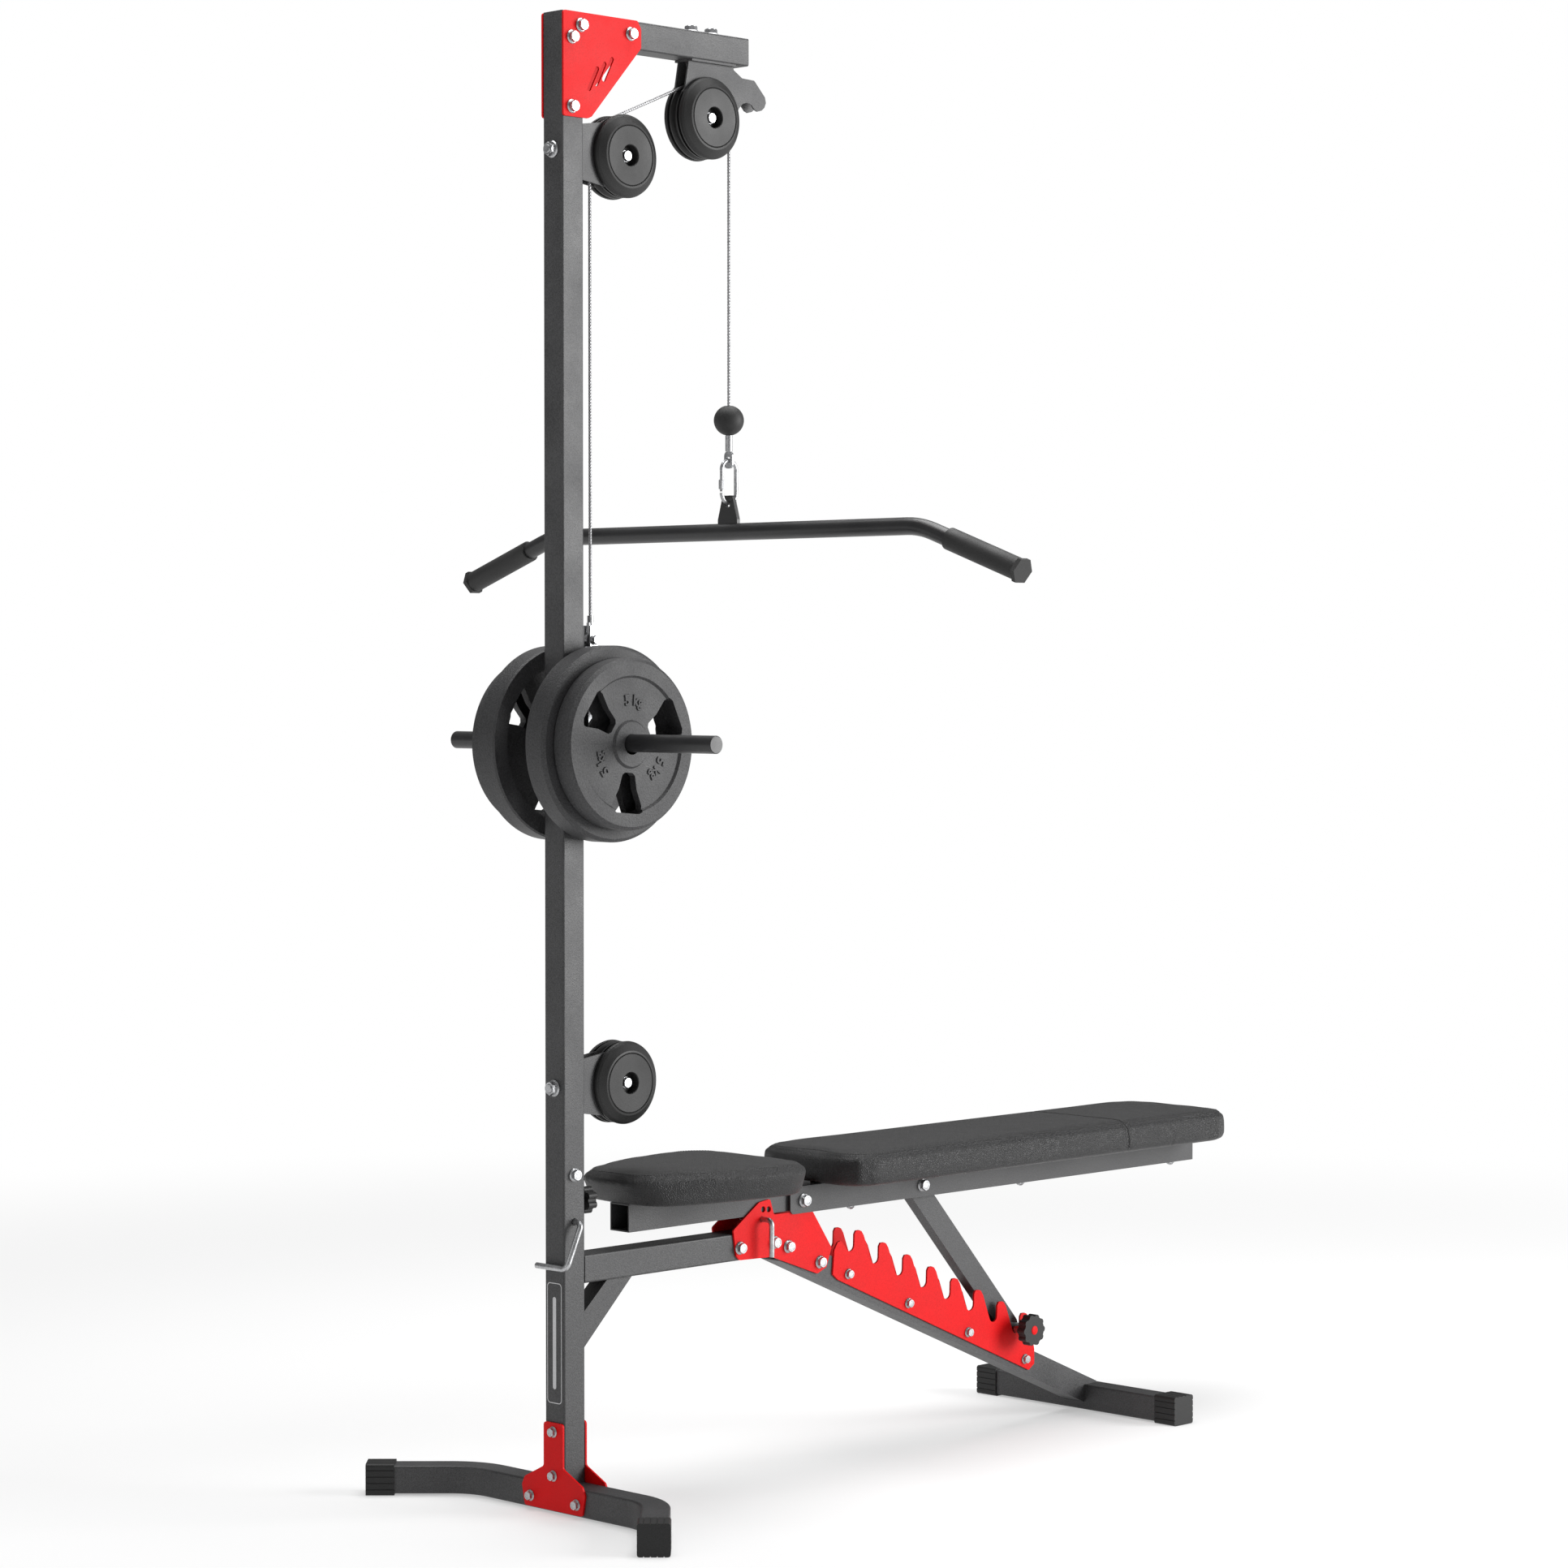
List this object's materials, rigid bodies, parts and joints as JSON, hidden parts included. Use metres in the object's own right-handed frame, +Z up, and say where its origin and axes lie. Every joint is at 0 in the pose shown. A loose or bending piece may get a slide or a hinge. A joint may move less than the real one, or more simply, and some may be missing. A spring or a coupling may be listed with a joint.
{
  "type": "multi station home gym",
  "caption": "Cable tower with a weight carriage and lat bar, joined to an adjustable bench with a seat, a backrest and a toothed ladder.",
  "frame": {"origin": "on the floor, at the centre of the object's bounding box", "axes": "+Z up, +X from the cable tower towards the head end of the bench, Y across the bench"},
  "size_m": [1.5002, 1.1484, 2.109],
  "materials": {
    "frame_coat": "fine textured dark grey powder coat",
    "red_coat": "fine textured bright red powder coat",
    "zinc": "bright zinc plate",
    "bearing_steel": "ground steel",
    "cable_steel": "twisted steel wire rope",
    "black_plastic": "moulded satin black plastic",
    "wheel_nylon": "moulded black nylon",
    "rubber": "matt black rubber",
    "black_bar": "satin black coat",
    "cast_plate": "rough hammered dark grey enamel on cast iron",
    "pad_cover": "grained black leatherette over foam"
  },
  "bodies": {
    "frame": {"tower_foot": "frame_coat", "tower_foot_caps": "black_plastic", "foot_gussets": "red_coat", "lower_post": "frame_coat", "post_spigot": "frame_coat", "upper_post": "frame_coat", "top_arm": "frame_coat", "head_plates": "red_coat", "tube_caps": "black_plastic", "upper_pulley_bracket": "frame_coat", "low_pulley_bracket": "frame_coat", "front_pulley_bracket": "frame_coat", "upper_pulley_covers": "black_plastic", "front_pulley_covers": "black_plastic", "low_pulley_covers": "black_plastic", "cable_over_pulleys": "cable_steel", "main_beam": "frame_coat", "beam_brace": "frame_coat", "bench_leg": "frame_coat", "bench_foot": "frame_coat", "bench_foot_caps": "black_plastic", "joint_plates": "red_coat", "ladder_plates": "red_coat", "tower_bolts": "zinc", "bench_bolts": "zinc"},
    "upper_wheel": {"upper_pulley_wheel": "wheel_nylon", "upper_pulley_bearing": "bearing_steel"},
    "front_wheel": {"front_pulley_wheel": "wheel_nylon", "front_pulley_bearing": "bearing_steel"},
    "low_wheel": {"low_pulley_wheel": "wheel_nylon", "low_pulley_bearing": "bearing_steel"},
    "carriage": {"carriage_sleeve": "frame_coat", "carriage_liners": "black_plastic", "weight_pin": "black_bar", "carriage_clevis": "zinc", "clevis_bolt": "zinc", "cable_rear_eye": "zinc", "cable_rear_run": "cable_steel"},
    "near_large": {"near_large_plate": "cast_plate"},
    "near_small": {"near_small_plate": "cast_plate"},
    "far_large": {"far_large_plate": "cast_plate"},
    "far_small": {"far_small_plate": "cast_plate"},
    "cable_end": {"cable_front_run": "cable_steel", "stop_ball": "rubber"},
    "snap_hook": {"cable_eye_terminal": "zinc", "snap_hook_body": "zinc"},
    "hook_gate": {"snap_hook_gate": "zinc"},
    "pull_bar": {"lat_bar": "black_bar", "lat_bar_grips": "rubber"},
    "seat": {"seat_rail": "frame_coat", "seat_pad": "pad_cover"},
    "backrest": {"back_rail": "frame_coat", "back_pad": "pad_cover", "backrest_bolts": "zinc"},
    "back_support": {"support_leg": "frame_coat", "catch_bar": "bearing_steel"},
    "support_knob": {"catch_knob": "black_plastic"},
    "seat_pin": {"seat_lock_pin": "zinc"},
    "tower_pin": {"tower_lock_pin": "zinc"},
    "post_knob": {"clamp_knob": "black_plastic"}
  },
  "joints": [
    {"name": "carriage_lift", "type": "slide", "parent": "frame", "child": "carriage", "axis": [0, 0, 1], "range_m": [-0.3, 0.55], "deforming": ["cable_rear_run"]},
    {"name": "near_large_slide", "type": "slide", "parent": "carriage", "child": "near_large", "axis": [0, -1, 0], "range_m": [0, 0.24]},
    {"name": "near_small_slide", "type": "slide", "parent": "near_large", "child": "near_small", "axis": [0, -1, 0], "range_m": [0, 0.17]},
    {"name": "far_large_slide", "type": "slide", "parent": "carriage", "child": "far_large", "axis": [0, 1, 0], "range_m": [0, 0.24]},
    {"name": "far_small_slide", "type": "slide", "parent": "far_large", "child": "far_small", "axis": [0, 1, 0], "range_m": [0, 0.17]},
    {"name": "upper_wheel_spin", "type": "hinge", "parent": "frame", "child": "upper_wheel", "pos_m": [-0.5169, 0, 1.91], "axis": [0, 1, 0], "range_deg": [-330, 600]},
    {"name": "front_wheel_spin", "type": "hinge", "parent": "frame", "child": "front_wheel", "pos_m": [-0.3509, 0, 1.979], "axis": [0, 1, 0], "range_deg": [-330, 600]},
    {"name": "low_wheel_spin", "type": "hinge", "parent": "frame", "child": "low_wheel", "pos_m": [-0.5189, 0, 0.6], "axis": [0, 1, 0], "continuous": true},
    {"name": "cable_end_lift", "type": "slide", "parent": "frame", "child": "cable_end", "axis": [0, 0, 1], "range_m": [-0.56, 0.31], "deforming": ["cable_front_run"]},
    {"name": "hook_swivel", "type": "hinge", "parent": "cable_end", "child": "snap_hook", "pos_m": [-0.2969, 0, 1.526], "axis": [0, 0, 1], "range_deg": [-20, 20]},
    {"name": "gate_hinge", "type": "hinge", "parent": "snap_hook", "child": "hook_gate", "pos_m": [-0.3114, 0, 1.4445], "axis": [0, 1, 0], "range_deg": [0, 35], "stiffness_Nm_per_rad": 0.05},
    {"name": "bar_swing", "type": "hinge", "parent": "snap_hook", "child": "pull_bar", "pos_m": [-0.2969, 0, 1.428], "axis": [1, 0, 0], "range_deg": [-15, 15]},
    {"name": "backrest_recline", "type": "hinge", "parent": "frame", "child": "backrest", "pos_m": [-0.1669, 0, 0.4], "axis": [0, -1, 0], "range_deg": [0, 65]},
    {"name": "support_leg_fold", "type": "hinge", "parent": "backrest", "child": "back_support", "pos_m": [0.0921, 0, 0.399], "axis": [0, 1, 0], "range_deg": [0, 79]},
    {"name": "catch_knob_turn", "type": "hinge", "parent": "back_support", "child": "support_knob", "pos_m": [0.3121, -0.05, 0.154], "axis": [0, 1, 0], "continuous": true},
    {"name": "seat_tilt", "type": "hinge", "parent": "frame", "child": "seat", "pos_m": [-0.1669, 0, 0.4], "axis": [0, 1, 0], "range_deg": [0, 9]},
    {"name": "seat_pin_pull", "type": "slide", "parent": "frame", "child": "seat_pin", "axis": [0, -1, 0], "range_m": [0, 0.055]},
    {"name": "tower_pin_pull", "type": "slide", "parent": "frame", "child": "tower_pin", "axis": [0, -1, 0], "range_m": [0, 0.05]},
    {"name": "post_knob_turn", "type": "hinge", "parent": "frame", "child": "post_knob", "pos_m": [-0.5859, 0, 0.438], "axis": [1, 0, 0], "continuous": true}
  ],
  "couplings": [
    {"joint": "cable_end_lift", "follows": "carriage_lift", "ratio": -1},
    {"joint": "upper_wheel_spin", "follows": "carriage_lift", "rad_per_m": 18.518},
    {"joint": "front_wheel_spin", "follows": "carriage_lift", "rad_per_m": 18.518},
    {"joint": "support_leg_fold", "follows": "backrest_recline", "ratio": 1.2}
  ]
}
